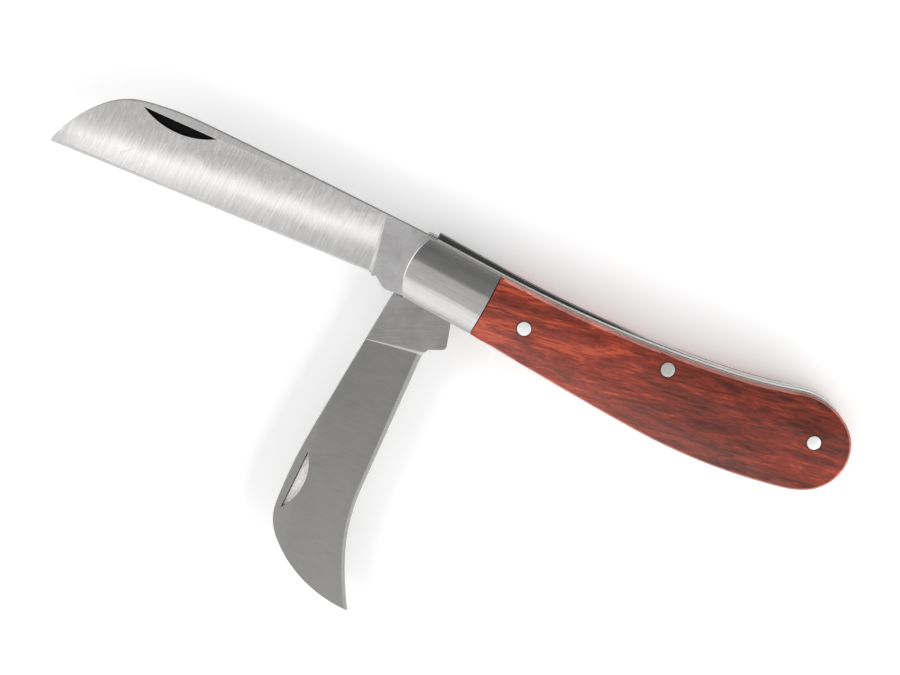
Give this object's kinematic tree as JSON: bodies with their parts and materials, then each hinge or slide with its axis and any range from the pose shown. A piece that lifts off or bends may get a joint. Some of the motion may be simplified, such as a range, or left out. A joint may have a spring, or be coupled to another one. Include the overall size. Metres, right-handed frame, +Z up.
{
  "type": "grafting knife",
  "caption": "Folding grafting and pruning knife: straight budding blade and hooked pruning blade on one pivot, back springs, metal bolsters, swelling wooden handle with flush pins.",
  "frame": {"origin": "on the flat of the lower bolster, which the knife lies on, on the handle's middle line and abreast of the blade pivot", "axes": "+X from the pivot to the butt of the handle, +Y towards the back of the knife, where the springs are, +Z up through its thickness; at rest the straight blade is fully open along -X and the hooked blade is half open along -Y"},
  "size_m": [0.1817, 0.0928, 0.0124],
  "materials": {
    "blade_steel": "satin",
    "spring_steel": "satin",
    "liner_metal": "brushed",
    "bolster_metal": "polished, lightly brushed",
    "rosewood": "satin varnish",
    "pin_metal": "ground flush"
  },
  "bodies": {
    "handle": {"main_back_spring": "spring_steel", "pruning_back_spring": "spring_steel", "upper_liner": "liner_metal", "centre_liner": "liner_metal", "lower_liner": "liner_metal", "upper_bolster": "bolster_metal", "lower_bolster": "bolster_metal", "upper_scale": "rosewood", "lower_scale": "rosewood", "pivot_pin": "bolster_metal", "centre_pin": "pin_metal", "butt_pin": "pin_metal", "upper_scale_rivet": "pin_metal", "lower_scale_rivet": "pin_metal"},
    "main_blade": {"main_blade": "blade_steel"},
    "pruning_blade": {"pruning_blade": "blade_steel"}
  },
  "joints": [
    {"name": "main_blade_fold", "type": "hinge", "parent": "handle", "child": "main_blade", "pos_m": [0, -0.0016, 0.0075], "axis": [0, 0, 1], "range_deg": [0, 176], "deforming": ["main_back_spring"]},
    {"name": "pruning_blade_fold", "type": "hinge", "parent": "handle", "child": "pruning_blade", "pos_m": [0, -0.0016, 0.0049], "axis": [0, 0, 1], "range_deg": [-90, 87], "deforming": ["pruning_back_spring"]}
  ]
}
